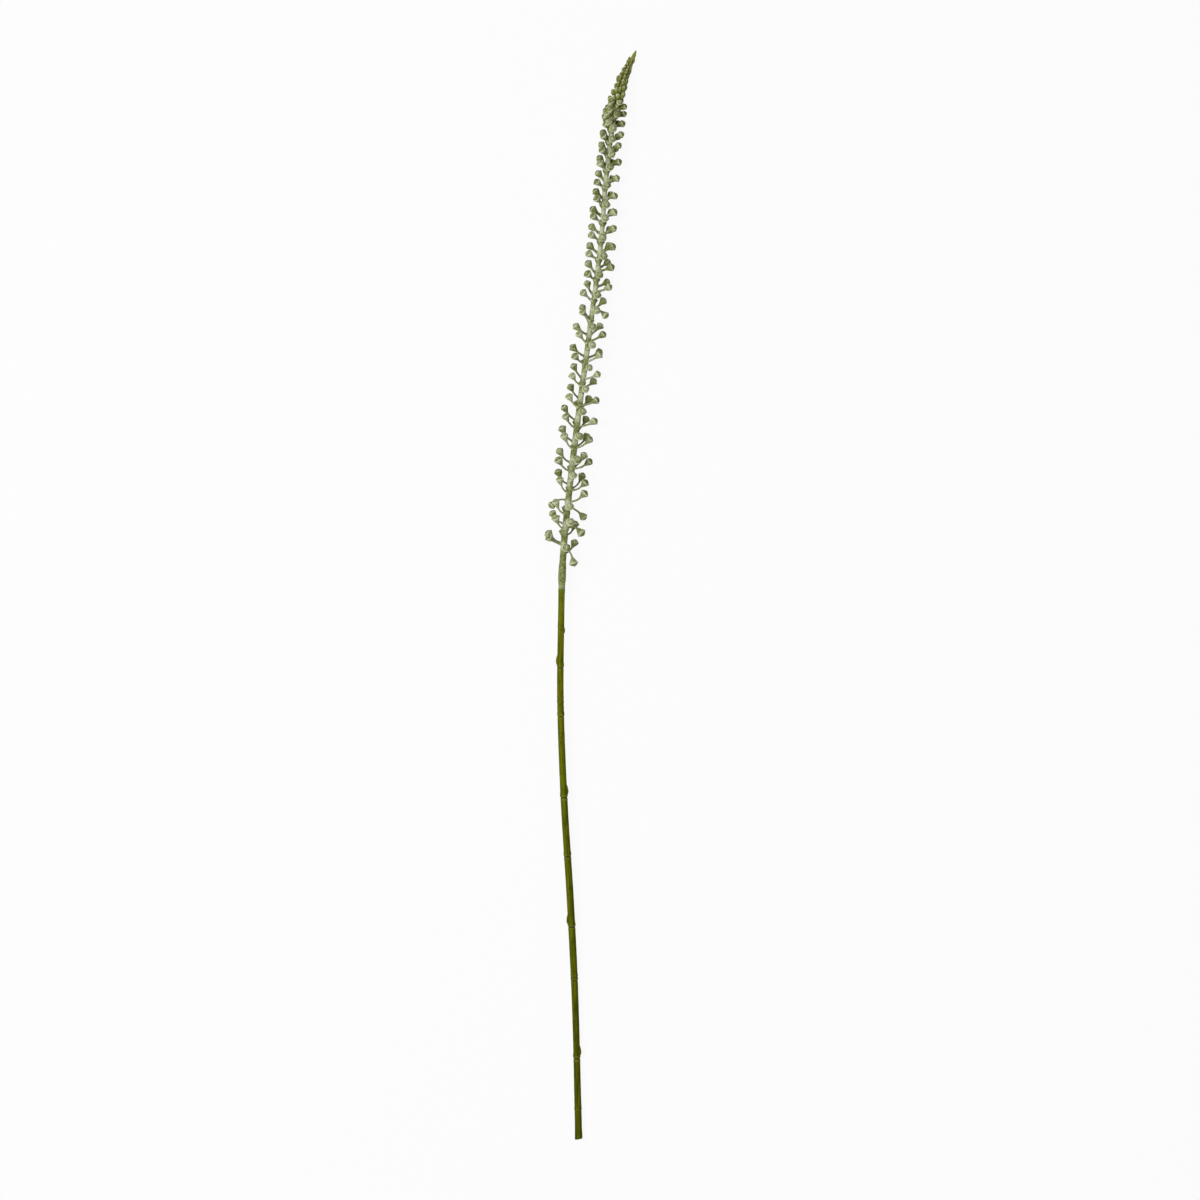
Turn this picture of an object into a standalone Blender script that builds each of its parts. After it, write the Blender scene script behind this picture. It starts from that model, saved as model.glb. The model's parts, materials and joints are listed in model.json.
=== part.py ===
"""A foxtail lily stem, cut and laid on its side: a ringed olive stalk, a bare frosted neck, a spike of
whorls of six stalked buds, and a pointed tip of tightly packed buds.

The spike is split at its forks: each piece is one whorl with its stretch of the axis, and meets the
next face to face. Everything is placed by its distance along the axis from the cut end. The stem runs
along +Y to its tip, +X is its right and +Z is up from the surface that it lies on. At the end the
whole stem is moved so that the middle of its box stands on the world origin.
"""

import math
import random

import bmesh
import bpy
from mathutils import Vector

MM = 0.001
SEED = 7
JOINT_GAP = 0.3

# The axis, in millimetres from the middle of the cut end: across, along and up.
AXIS_POINTS = (
    (0.0, 0.0, 3.6),
    (-3.6, 140.0, 6.2),
    (-8.4, 240.0, 8.0),
    (-14.6, 340.0, 9.8),
    (-18.2, 440.0, 11.6),
    (-17.6, 515.0, 12.9),
    (-15.8, 580.0, 14.0),
    (-10.3, 640.0, 14.6),
    (-1.1, 718.0, 14.4),
    (10.5, 805.0, 13.6),
    (21.9, 894.0, 12.4),
    (27.5, 962.0, 11.4),
    (34.5, 1018.0, 10.2),
    (42.9, 1055.0, 8.4),
    (57.6, 1091.0, 4.6),
)
AXIS_STEPS = 16

# The stalk, in millimetres. A table's rows are a place and a value.
STALK_LENGTH = 556.0
STALK_SIDES = 8
STALK_RADII = ((0, 3.8), (14, 3.55), (90, 3.35), (230, 3.6), (330, 3.5), (450, 3.3), (530, 3.2), (556, 3.3))
CUT_SLANT = 0.16
NODE_GROOVES = (28, 81, 159, 213, 284, 343, 424, 473, 511, 547)
GROOVE_DEPTH = 0.35
GROOVE_REACH = 1.2
LIP_HEIGHT = 0.45
LIP_CREST = 1.5
LIP_LENGTH = 6.0
# Dormant buds sit at some nodes, on the right (1) or the left (-1), and start this far above them.
DORMANT_BUDS = {81: (1, 3.0), 213: (-1, 3.0), 343: (1, 3.0), 473: (-1, 3.0), 511: (1, -4.0)}
DORMANT_RISE = 1.3
DORMANT_LENGTH = 11.0

# The frosted neck between the stalk and the lowest whorl, in millimetres along the axis.
SPIKE_SIDES = 6
SPIKE_START = 580.0
NECK_RADII = (
    (STALK_LENGTH + JOINT_GAP, 3.4),
    (559, 3.75),
    (564, 4.0),
    (572, 3.8),
    (SPIKE_START - JOINT_GAP, 3.3),
)

# The spike, in millimetres and degrees. Each table runs from the lowest whorl, 0, to the apex, 1.
TIP_START = 1034.0
BARE_APEX = 9.0
PITCHES = (
    (0, 21.5), (0.45, 21.5), (0.61, 19.0), (0.71, 17.0), (0.78, 13.5), (0.83, 11.5), (0.86, 9.4), (0.89, 7.6),
    (0.92, 6.0), (1, 4.4),
)
AXIS_RADII = (
    (0, 3.2), (0.15, 3.2), (0.4, 3.0), (0.84, 2.7), (0.9, 3.9), (0.935, 3.8), (0.97, 2.2), (1, 0.3),
)
PEDICEL_LENGTHS = (
    (0, 10.8), (0.25, 10.2), (0.45, 7.6), (0.6, 5.2), (0.72, 3.2), (0.84, 2.2), (0.9, 1.2), (1, 0.4),
)
PEDICEL_RADII = ((0, 0.85), (0.84, 0.95), (0.92, 0.9), (1, 0.4))
LEANS_AT_ROOT = ((0, 84), (0.25, 78), (0.45, 70), (0.84, 64), (0.92, 44), (0.97, 24), (1, 16))
LEANS_AT_BUD = (
    (0, 28), (0.12, 30), (0.2, 38), (0.3, 48), (0.5, 56), (0.84, 56), (0.92, 34), (0.97, 18), (1, 12),
)
BUD_LENGTHS = ((0, 8.2), (0.5, 7.8), (0.84, 7.2), (0.92, 5.2), (0.97, 2.8), (1, 1.8))
BUD_RADII = ((0, 3.8), (0.5, 3.6), (0.84, 2.95), (0.92, 2.0), (0.97, 1.2), (1, 0.6))
# A bud's own rings: share of its length, and share of its radius.
BUD_PROFILE = ((0.68, 1.05), (1.0, 0.7))
ROOT_DEPTH = 1.3

# The solids are plainer higher up, where the buds are closer and smaller.
BENT_PEDICELS_UP_TO = 0.25
FIVE_SIDED_BUDS_UP_TO = 0.6

# A whorl is six buds, one in each row that runs up the spike.
# Each row has its turn from the top towards the right, its place in the pitch, and how much further
# out it leans than the tables say.
ROWS = {
    "left_front": (-52, 0.18, 2),
    "right_back": (137, 0.10, -8),
    "front": (12, 0.64, 26),
    "back": (187, 0.70, -10),
    "right_front": (77, 0.30, 3),
    "left_back": (257, 0.55, -6),
}
# The front row and the right ones drift along the axis as they climb: millimetres by spike share.
ROW_SLIDES = {
    "front": (
        (0, 0), (0.2, 0), (0.25, 5.5), (0.42, 5.5), (0.5, -7.0), (0.63, -6.0), (0.69, -9.0), (0.74, -6.0),
        (0.84, -4.0), (0.87, 0),
    ),
    "right_front": (
        (0, 0), (0.47, 0), (0.5, 6.0), (0.56, 6.5), (0.66, 3.5), (0.8, 4.0), (0.85, 3.0), (0.87, 0),
    ),
    "right_back": (
        (0, 0), (0.09, 0), (0.12, 6.0), (0.21, 6.0), (0.245, 0), (0.34, 0), (0.37, 9.0), (0.5, 16.0),
        (0.62, 7.0), (0.7, 4.0), (0.84, 4.0), (0.87, 0),
    ),
}
# Where it drifts, the right back row also turns out to the side: degrees by spike share.
ROW_TURNS = {
    "right_back": (
        (0, 0), (0.09, 0), (0.12, -12), (0.21, -12), (0.245, 0), (0.34, 0), (0.37, -16), (0.58, -16),
        (0.66, -6), (0.84, 0),
    ),
}
IN_LINE = ((0, 0),)
# Some buds start elsewhere or hang, most of them low ones: a slide, a turn, and often both leans.
STRAYS = {
    (0, "left_front"): (12.0, 0, 86, 60),
    (0, "left_back"): (6.0, 0, 84, 48),
    (0, "right_back"): (5.0, 0, 76, 30),
    (0, "front"): (-4.0, 0, 96, 70),
    (0, "right_front"): (7.0, 0, 122, 160),
    (1, "left_front"): (6.0, 6, 84, 40),
    (1, "left_back"): (3.0, -6, 80, 44),
    (1, "right_back"): (3.0, -10, 90, 20),
    (1, "right_front"): (3.0, 0, 20, 130),
    (2, "right_back"): (8.0, -32, 96, 128),
    (2, "right_front"): (10.0, 0, 86, 40),
    (2, "front"): (-6.0, 0, 98, 72),
    (2, "left_back"): (5.0, 26, 72, 136),
    (8, "right_front"): (5.0, 0),
    (11, "right_front"): (10.0, 0, 80, 124),
    (11, "left_back"): (-4.0, 0, 64, 34),
    (12, "left_back"): (-1.0, 0, 60, 26),
}


def table_value(table, at):
    """The value of a table of (place, value) rows at a place, eased between its rows."""
    if at <= table[0][0]:
        return table[0][1]
    for (start, low), (end, high) in zip(table, table[1:]):
        if at <= end:
            share = (at - start) / (end - start)
            return low + (high - low) * share * share * (3 - 2 * share)
    return table[-1][1]


class Axis:
    """The stem's centre line, a smooth curve through its points, read by distance along it."""

    def __init__(self, points, steps):
        points = [Vector(point) for point in points]
        ends = [2 * points[0] - points[1], *points, 2 * points[-1] - points[-2]]
        self.points = [points[0]]
        for before, start, end, after in zip(ends, ends[1:], ends[2:], ends[3:]):
            chord = (end - start).length
            leave = (end - before) * chord / (end - before).length
            arrive = (after - start) * chord / (after - start).length
            for step in range(1, steps + 1):
                t = step / steps
                self.points.append(
                    start * (2 * t**3 - 3 * t**2 + 1)
                    + leave * (t**3 - 2 * t**2 + t)
                    + end * (3 * t**2 - 2 * t**3)
                    + arrive * (t**3 - t**2)
                )
        self.distances = [0.0]
        for start, end in zip(self.points, self.points[1:]):
            self.distances.append(self.distances[-1] + (end - start).length)
        self.length = self.distances[-1]

    def point(self, distance):
        last = len(self.points) - 2
        index = next((i for i in range(last) if self.distances[i + 1] >= distance), last)
        start, end = self.distances[index], self.distances[index + 1]
        return self.points[index].lerp(self.points[index + 1], (distance - start) / (end - start))

    def frame(self, distance):
        """The point at a distance, and the ways along, right of and above the axis there."""
        along = (self.point(distance + 1.0) - self.point(distance - 1.0)).normalized()
        right = along.cross(Vector((0, 0, 1))).normalized()
        return self.point(distance), along, right, right.cross(along)

    def spike_share(self, distance):
        """How far along the spike a distance is, from 0 at the lowest whorl to 1 at the apex."""
        return (distance - SPIKE_START) / (self.length - SPIKE_START)

    def ring(self, distance, radius_at, sides, slant=0.0):
        """A ring of points round the axis. radius_at takes the angle; slant tips the ring sideways."""
        point, along, right, up = self.frame(distance)
        ring = []
        for side in range(sides):
            angle = math.tau * side / sides
            out = up * math.cos(angle) + right * (math.sin(angle))
            ring.append(point + (out + along * slant * math.sin(angle)) * radius_at(angle))
        return ring


def lofted(name, rings):
    """A closed object whose skin runs through rings of points, with a flat cap at each end."""
    shell = bmesh.new()
    loops = [[shell.verts.new(point * MM) for point in ring] for ring in rings]
    for lower, upper in zip(loops, loops[1:]):
        for i in range(len(lower)):
            j = (i + 1) % len(lower)
            shell.faces.new((lower[i], lower[j], upper[j], upper[i]))
    shell.faces.new(loops[0])
    shell.faces.new(loops[-1])
    bmesh.ops.recalc_face_normals(shell, faces=shell.faces)
    mesh = bpy.data.meshes.new(name)
    shell.to_mesh(mesh)
    shell.free()
    thing = bpy.data.objects.new(name, mesh)
    bpy.context.scene.collection.objects.link(thing)
    return thing


def stalk_radius(distance, angle):
    """The stalk's taper, with a groove and a lip at each node and the dormant buds above some."""
    radius = table_value(STALK_RADII, distance)
    for groove in NODE_GROOVES:
        above = distance - groove
        radius -= GROOVE_DEPTH * max(0.0, 1 - abs(above) / GROOVE_REACH)
        if 0 < above < LIP_LENGTH:
            radius += LIP_HEIGHT * math.sin(math.pi * (above / LIP_LENGTH) ** 0.5)
        side, start = DORMANT_BUDS.get(groove, (0, 0.0))
        along_bud = (above - start) / DORMANT_LENGTH
        if 0 < along_bud < 1:
            facing = max(0.0, math.sin(angle) * side) ** 3
            radius += DORMANT_RISE * facing * math.sin(math.pi * along_bud**0.7)
    return radius


def make_stalk(axis):
    stations = {0.0, 14.0, STALK_LENGTH}
    for groove in NODE_GROOVES:
        stations.update((groove - GROOVE_REACH, groove, groove + LIP_CREST, groove + LIP_LENGTH))
        if groove in DORMANT_BUDS:
            foot = groove + DORMANT_BUDS[groove][1]
            stations.update((foot + DORMANT_LENGTH / 2, foot + DORMANT_LENGTH))
    rings = [
        axis.ring(
            distance,
            lambda angle: stalk_radius(distance, angle),
            STALK_SIDES,
            CUT_SLANT if distance == 0 else 0.0,
        )
        for distance in sorted(stations)
    ]
    return lofted("stalk", rings)


def make_neck(axis):
    rings = [axis.ring(distance, lambda _: radius, SPIKE_SIDES) for distance, radius in NECK_RADII]
    return lofted("spike_neck", rings)


def spike_core(name, axis, start, end, steps):
    """The spike's bare axis between two distances."""
    rings = []
    for step in range(steps + 1):
        distance = start + (end - start) * step / steps
        radius = table_value(AXIS_RADII, axis.spike_share(distance))
        rings.append(axis.ring(distance, lambda _: radius, SPIKE_SIDES))
    return lofted(name, rings)


class Bud:
    """One stalked bud: an arched pedicel that grows out of the axis, and the bud on its end."""

    def __init__(self, axis, row, whorl, start, pitch, chance):
        degrees, place, lean_out = ROWS[row]
        slide, twist, *leans = STRAYS.get((whorl, row), (0.0, 0))
        slide += table_value(ROW_SLIDES.get(row, IN_LINE), axis.spike_share(start))
        twist += table_value(ROW_TURNS.get(row, IN_LINE), axis.spike_share(start))
        distance = start + pitch * (place + chance.uniform(-0.03, 0.03)) + slide
        self.share = axis.spike_share(distance)
        turn = math.radians(degrees + twist + chance.uniform(-7, 7))
        point, self.along, right, up = axis.frame(distance)
        self.out = up * math.cos(turn) + right * math.sin(turn)
        self.side = self.along.cross(self.out)
        self.root = point + self.out * (table_value(AXIS_RADII, self.share) - ROOT_DEPTH)
        self.pedicel = ROOT_DEPTH + table_value(PEDICEL_LENGTHS, self.share) * chance.uniform(0.88, 1.1)
        self.thickness = table_value(PEDICEL_RADII, self.share)
        self.length = table_value(BUD_LENGTHS, self.share) * chance.uniform(0.94, 1.06)
        self.radius = table_value(BUD_RADII, self.share) * chance.uniform(0.94, 1.06)
        self.spin = chance.uniform(0, math.tau)
        lean_out += chance.uniform(-9, 9)
        if not leans:
            tables = (LEANS_AT_ROOT, LEANS_AT_BUD)
            leans = [table_value(table, self.share) + lean_out for table in tables]
        self.leans = [math.radians(lean) for lean in leans]
        self.lay_on_surface()

    def way(self, share):
        """The pedicel's direction at a share of its length. The bud carries on the last one."""
        lean = self.leans[0] + (self.leans[1] - self.leans[0]) * share
        return self.along * math.cos(lean) + self.out * math.sin(lean)

    def path(self, steps):
        points = [self.root]
        for step in range(steps):
            points.append(points[-1] + self.way((step + 0.5) / steps) * self.pedicel / steps)
        return points

    def lay_on_surface(self):
        """Bends a bud that would reach below the surface back along the axis until it lies on it."""
        while self.lowest() < 0:
            self.leans = [lean * 0.985 for lean in self.leans]

    def lowest(self):
        end, way = self.path(8)[-1], self.way(1)
        slope = math.sqrt(1 - min(1.0, way.z**2))
        return min(
            (end + way * self.length * along).z - self.radius * wide * slope
            for along, wide in BUD_PROFILE
        )

    def ring(self, centre, share, radius, sides):
        across = self.side.cross(self.way(share))
        turns = [self.spin + math.tau * i / sides for i in range(sides)]
        return [
            centre + (self.side * math.cos(turn) + across * math.sin(turn)) * radius for turn in turns
        ]

    def solid(self):
        """The bud from inside the axis, along the pedicel, to its flat top."""
        bends = 2 if self.share < BENT_PEDICELS_UP_TO else 1
        sides = 5 if self.share < FIVE_SIDED_BUDS_UP_TO else 4
        points = self.path(bends)
        rings = [
            self.ring(point, i / bends, self.thickness, sides) for i, point in enumerate(points)
        ]
        for along, wide in BUD_PROFILE:
            centre = points[-1] + self.way(1) * self.length * along
            rings.append(self.ring(centre, 1, self.radius * wide, sides))
        return lofted("bud", rings)


def whorl_places(axis):
    """Each whorl's number, start and pitch. The whorls come closer and closer towards the apex."""
    places = []
    start = SPIKE_START
    while start < axis.length - BARE_APEX:
        pitch = table_value(PITCHES, axis.spike_share(start))
        places.append((len(places), start, pitch))
        start += pitch
    return places


def fused(core, axis, places, chance, crossing):
    """Grows the buds of some whorls out of a core, as one solid. crossing: buds touch each other."""
    together = bmesh.new()
    for number, start, pitch in places:
        for row in ROWS:
            bud = Bud(axis, row, number, start, pitch, chance).solid()
            together.from_mesh(bud.data)
            bpy.data.objects.remove(bud)
    buds = bpy.data.objects.new("buds", bpy.data.meshes.new("buds"))
    together.to_mesh(buds.data)
    together.free()
    bpy.context.scene.collection.objects.link(buds)
    union = core.modifiers.new("union", "BOOLEAN")
    union.operation = "UNION"
    union.object = buds
    union.use_self = crossing
    shape = core.evaluated_get(bpy.context.evaluated_depsgraph_get())
    core.data = bpy.data.meshes.new_from_object(shape)
    core.modifiers.clear()
    bpy.data.objects.remove(buds)
    return core


def make_whorl(axis, place, chance):
    number, start, pitch = place
    core = spike_core(f"bud_whorl_{number + 1:02d}", axis, start, start + pitch - JOINT_GAP, 1)
    return fused(core, axis, [place], chance, False)


def make_tip(axis, places, chance):
    core = spike_core("spike_tip", axis, places[0][1], axis.length, 5)
    return fused(core, axis, places, chance, True)


def finish(name, colour, roughness):
    material = bpy.data.materials.new(name)
    material.use_nodes = True
    shader = material.node_tree.nodes["Principled BSDF"]
    shader.inputs["Base Color"].default_value = (*colour, 1)
    shader.inputs["Roughness"].default_value = roughness
    shader.inputs["Metallic"].default_value = 0.0
    return material


def painted(thing, material):
    thing.data.materials.clear()
    thing.data.materials.append(material)
    thing.data.shade_smooth()
    thing.data.set_sharp_from_angle(angle=math.radians(40))
    return thing


def centre_on_origin(things):
    """Parents the pieces to an empty, and moves it until the middle of their box is on the origin."""
    holder = bpy.data.objects.new("stem_origin", None)
    bpy.context.scene.collection.objects.link(holder)
    corners = [vertex.co for thing in things for vertex in thing.data.vertices]
    for thing in things:
        thing.parent = holder
    low, high = (Vector([pick(c[i] for c in corners) for i in range(3)]) for pick in (min, max))
    holder.location = (-(low.x + high.x) / 2, -(low.y + high.y) / 2, -low.z)


def main():
    for thing in list(bpy.data.objects):
        bpy.data.objects.remove(thing)
    axis = Axis(AXIS_POINTS, AXIS_STEPS)
    chance = random.Random(SEED)
    olive = finish("stalk_olive", (0.105, 0.125, 0.008), 0.5)
    frosted = finish("frosted_green", (0.26, 0.30, 0.16), 0.85)
    tip_green = finish("tip_green", (0.25, 0.29, 0.10), 0.8)
    places = whorl_places(axis)
    loose = [place for place in places if place[1] < TIP_START]
    things = [painted(make_stalk(axis), olive), painted(make_neck(axis), frosted)]
    things += [painted(make_whorl(axis, place, chance), frosted) for place in loose]
    things.append(painted(make_tip(axis, places[len(loose):], chance), tip_green))
    centre_on_origin(things)


main()
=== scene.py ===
# %% [markdown]
# # A foxtail lily stem, still in bud
#
# The real thing is a metre of stem: a smooth olive stalk with a ring wherever a leaf once sat, then a
# spike of little cup-shaped buds on arched stalks, six to a whorl, all under a pale powdery frosting.
# The whorls crowd together towards the tip, where the smallest buds are packed like scales.
#
# Nearly everything here repeats or follows the stem's curve, so Geometry Nodes make it: one tree
# sweeps a skin along a curve, one sets stalked buds on a whorl, and one packs buds round the tip.
# Python works out the curve and where each bud grows, because the solids of the part obey the same
# rule and the two have to agree.

import json
import math
import random

import bmesh
import bpy
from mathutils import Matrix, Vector

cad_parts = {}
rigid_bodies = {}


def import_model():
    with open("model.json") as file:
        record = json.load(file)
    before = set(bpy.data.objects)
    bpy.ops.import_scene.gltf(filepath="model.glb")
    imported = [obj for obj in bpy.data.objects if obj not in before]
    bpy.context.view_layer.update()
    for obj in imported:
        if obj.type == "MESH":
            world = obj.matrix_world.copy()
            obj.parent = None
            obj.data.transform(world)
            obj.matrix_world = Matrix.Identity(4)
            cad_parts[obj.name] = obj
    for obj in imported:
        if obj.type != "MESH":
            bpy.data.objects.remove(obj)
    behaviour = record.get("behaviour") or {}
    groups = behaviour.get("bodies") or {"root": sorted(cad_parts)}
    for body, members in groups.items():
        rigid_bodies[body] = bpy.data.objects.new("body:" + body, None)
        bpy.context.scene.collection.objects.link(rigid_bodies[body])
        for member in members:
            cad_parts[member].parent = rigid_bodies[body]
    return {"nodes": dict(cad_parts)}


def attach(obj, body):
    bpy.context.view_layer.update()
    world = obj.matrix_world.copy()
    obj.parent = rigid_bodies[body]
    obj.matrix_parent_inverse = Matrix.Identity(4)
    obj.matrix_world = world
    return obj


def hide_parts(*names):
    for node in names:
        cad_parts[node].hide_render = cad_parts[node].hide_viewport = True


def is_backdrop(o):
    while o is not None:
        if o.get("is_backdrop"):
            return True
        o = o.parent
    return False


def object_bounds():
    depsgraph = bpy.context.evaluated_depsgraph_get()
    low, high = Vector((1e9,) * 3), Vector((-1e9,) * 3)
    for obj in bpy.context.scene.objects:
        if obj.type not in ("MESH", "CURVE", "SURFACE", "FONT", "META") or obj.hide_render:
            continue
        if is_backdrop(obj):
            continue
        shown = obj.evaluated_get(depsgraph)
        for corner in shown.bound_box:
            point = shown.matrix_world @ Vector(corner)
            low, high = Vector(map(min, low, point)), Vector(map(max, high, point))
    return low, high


for thing in list(bpy.data.objects):
    bpy.data.objects.remove(thing)
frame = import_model()
cad_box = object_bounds()
print("solids:", len(frame["nodes"]), "size in mm:", [round(s * 1000) for s in cad_box[1] - cad_box[0]])

# %% [markdown]
# ## The curve that everything hangs on
#
# A stem bends as it grows, so its centre line is a smooth curve through a few points. A Bezier object
# would do, but we also need the place, the direction and the sideways direction at any distance from
# the cut end, for every bud. So the curve is worked out in Python, by the same cubic rule as the
# solids, and only its finished points are given to Blender. All sizes here are in millimetres.

# %% The axis
MM = 0.001
AXIS_STEPS = 16
AXIS_POINTS = (
    (0.0, 0.0, 3.6),
    (-3.6, 140.0, 6.2),
    (-8.4, 240.0, 8.0),
    (-14.6, 340.0, 9.8),
    (-18.2, 440.0, 11.6),
    (-17.6, 515.0, 12.9),
    (-15.8, 580.0, 14.0),
    (-10.3, 640.0, 14.6),
    (-1.1, 718.0, 14.4),
    (10.5, 805.0, 13.6),
    (21.9, 894.0, 12.4),
    (27.5, 962.0, 11.4),
    (34.5, 1018.0, 10.2),
    (42.9, 1055.0, 8.4),
    (57.6, 1091.0, 4.6),
)


class Axis:
    """The stem's centre line, a smooth curve through its points, read by distance along it."""

    def __init__(self, points, steps):
        points = [Vector(point) for point in points]
        ends = [2 * points[0] - points[1], *points, 2 * points[-1] - points[-2]]
        self.points = [points[0]]
        for before, start, end, after in zip(ends, ends[1:], ends[2:], ends[3:]):
            chord = (end - start).length
            leave = (end - before) * chord / (end - before).length
            arrive = (after - start) * chord / (after - start).length
            for step in range(1, steps + 1):
                t = step / steps
                self.points.append(
                    start * (2 * t**3 - 3 * t**2 + 1)
                    + leave * (t**3 - 2 * t**2 + t)
                    + end * (3 * t**2 - 2 * t**3)
                    + arrive * (t**3 - t**2)
                )
        self.distances = [0.0]
        for start, end in zip(self.points, self.points[1:]):
            self.distances.append(self.distances[-1] + (end - start).length)
        self.length = self.distances[-1]

    def point(self, distance):
        last = len(self.points) - 2
        index = next((i for i in range(last) if self.distances[i + 1] >= distance), last)
        start, end = self.distances[index], self.distances[index + 1]
        return self.points[index].lerp(self.points[index + 1], (distance - start) / (end - start))

    def frame(self, distance):
        """The point at a distance, and the ways along, right of and above the axis there."""
        along = (self.point(distance + 1.0) - self.point(distance - 1.0)).normalized()
        right = along.cross(Vector((0, 0, 1))).normalized()
        return self.point(distance), along, right, right.cross(along)


axis = Axis(AXIS_POINTS, AXIS_STEPS)
print("the axis is", round(axis.length), "mm long")

# %% [markdown]
# ## Where the axis lies in the frame
#
# The curve starts at the middle of the cut end, but the frame's origin is under the middle of the
# whole stem. The stalk's solid shows the difference: the mean of the corners of its cut face is where
# the curve starts. Its mesh is loose triangles, so each corner is counted once.

# %% Find the cut end
CUT_DEPTH = 2.0


def cut_centre(stalk):
    corners = {tuple(round(value, 6) for value in vertex.co) for vertex in stalk.data.vertices}
    first = min(corner[1] for corner in corners)
    face = [Vector(corner) for corner in corners if corner[1] < first + CUT_DEPTH * MM]
    return sum(face, Vector()) / len(face)


offset = cut_centre(frame["nodes"]["stalk"]) - Vector(AXIS_POINTS[0]) * MM
print("the curve is moved by", [round(value * 1000, 2) for value in offset], "mm")


def placed(point):
    """A point of the axis's own millimetres, in the frame's metres."""
    return point * MM + offset


# %% [markdown]
# ## One way to write nodes
#
# Node trees are long to write by hand, so two small classes do it. A Wire wraps a node's output, and
# Python's own operators on it add Math nodes, so that `1 - mask * 0.5` is written just like that. A
# Graph adds any other node from its type, the values of its sockets and its settings. Both serve
# geometry trees and materials alike.

# %% Wires and graphs
class Wire:
    """A node's output that takes part in Python expressions. Each operator adds its Math node."""

    def __init__(self, graph, made, socket):
        self.graph, self.made, self.socket = graph, made, socket

    def of(self, name):
        """Another output of the same node."""
        return Wire(self.graph, self.made, self.graph.socket(self.made.outputs, name))

    def math(self, operation, *others):
        """A Math node whose first value is this output."""
        return self.graph.math(operation, self, *others)

    def __add__(self, other):
        return self.math("ADD", other)

    def __radd__(self, other):
        return self.graph.math("ADD", other, self)

    def __sub__(self, other):
        return self.math("SUBTRACT", other)

    def __rsub__(self, other):
        return self.graph.math("SUBTRACT", other, self)

    def __mul__(self, other):
        return self.math("MULTIPLY", other)

    def __truediv__(self, other):
        return self.math("DIVIDE", other)

    def __rtruediv__(self, other):
        return self.graph.math("DIVIDE", other, self)

    def rise(self, low, high):
        """0 below low, 1 above high, and a smooth climb between. It falls if low is above high."""
        return self.graph.node(
            "ShaderNodeMapRange",
            {"Value": self, "From Min": low, "From Max": high},
            interpolation_type="SMOOTHSTEP",
        )


class Graph:
    """A node tree that is written from Python."""

    def __init__(self, tree):
        self.tree = tree

    def socket(self, sockets, name):
        if isinstance(name, int):
            return sockets[name]
        fits = [s for s in sockets if name in (s.identifier, s.name) and s.enabled]
        return fits[0]

    def node(self, kind, values=None, **settings):
        """Adds a node: its settings first, then the values or links of its sockets."""
        made = self.tree.nodes.new(kind)
        for name, setting in settings.items():
            setattr(made, name, setting)
        self.feed(made, values or {})
        outputs = [socket for socket in made.outputs if socket.enabled]
        return Wire(self, made, outputs[0] if outputs else None)

    def feed(self, made, values):
        """Gives a node's sockets their values or links. A list links each of its wires."""
        for name, value in values.items():
            socket = self.socket(made.inputs, name)
            for one in value if isinstance(value, list) else [value]:
                if isinstance(one, Wire):
                    self.tree.links.new(one.socket, socket)
                else:
                    socket.default_value = one

    def math(self, operation, *values):
        return self.node("ShaderNodeMath", dict(enumerate(values)), operation=operation)

    def vector(self, operation, *values):
        return self.node("ShaderNodeVectorMath", dict(enumerate(values)), operation=operation)

    def scaled(self, vector, factor):
        return self.node("ShaderNodeVectorMath", {0: vector, "Scale": factor}, operation="SCALE")


print("wires add", len([name for name in vars(Wire) if name.startswith("__r")]), "reflected operators")

# %% [markdown]
# ## Running a geometry tree
#
# A tree gets named inputs for its sizes, and a guide mesh carries what the tree follows: points, edges
# and attributes on them. After it has run, its result is copied into a plain mesh and the modifier is
# removed, because only plain meshes leave this file.

# %% Geometry trees
def geometry_tree(name, inputs):
    """A new geometry tree as a graph, and a Wire for each of its inputs by name."""
    tree = bpy.data.node_groups.new(name, "GeometryNodeTree")
    tree.interface.new_socket("Geometry", in_out="INPUT", socket_type="NodeSocketGeometry")
    for label, kind in inputs.items():
        tree.interface.new_socket(label, in_out="INPUT", socket_type=f"NodeSocket{kind}")
    tree.interface.new_socket("Geometry", in_out="OUTPUT", socket_type="NodeSocketGeometry")
    graph = Graph(tree)
    start = graph.node("NodeGroupInput")
    return graph, {label: start.of(label) for label in ("Geometry", *inputs)}


def named(graph, name, kind="FLOAT"):
    """An attribute of the geometry, by name."""
    return graph.node("GeometryNodeInputNamedAttribute", {"Name": name}, data_type=kind)


def stored(graph, shape, name, value):
    """The shape with one more attribute."""
    return graph.node("GeometryNodeStoreNamedAttribute", {"Geometry": shape, "Name": name, "Value": value})


def standing(name, data):
    """An object of some data, in the scene."""
    thing = bpy.data.objects.new(name, data)
    bpy.context.scene.collection.objects.link(thing)
    return thing


def drawn(name, points, edges, faces, notes):
    """A mesh object whose points carry notes: attributes with a number, a flag or a vector each."""
    mesh = bpy.data.meshes.new(name)
    mesh.from_pydata(points, edges, faces)
    kinds = {bool: "BOOLEAN", Vector: "FLOAT_VECTOR"}
    for label, values in notes.items():
        kind = kinds.get(type(values[0]), "FLOAT")
        layer = mesh.attributes.new(label, kind, "POINT")
        for item, value in zip(layer.data, values):
            setattr(item, "vector" if kind == "FLOAT_VECTOR" else "value", value)
    return standing(name, mesh)


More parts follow.
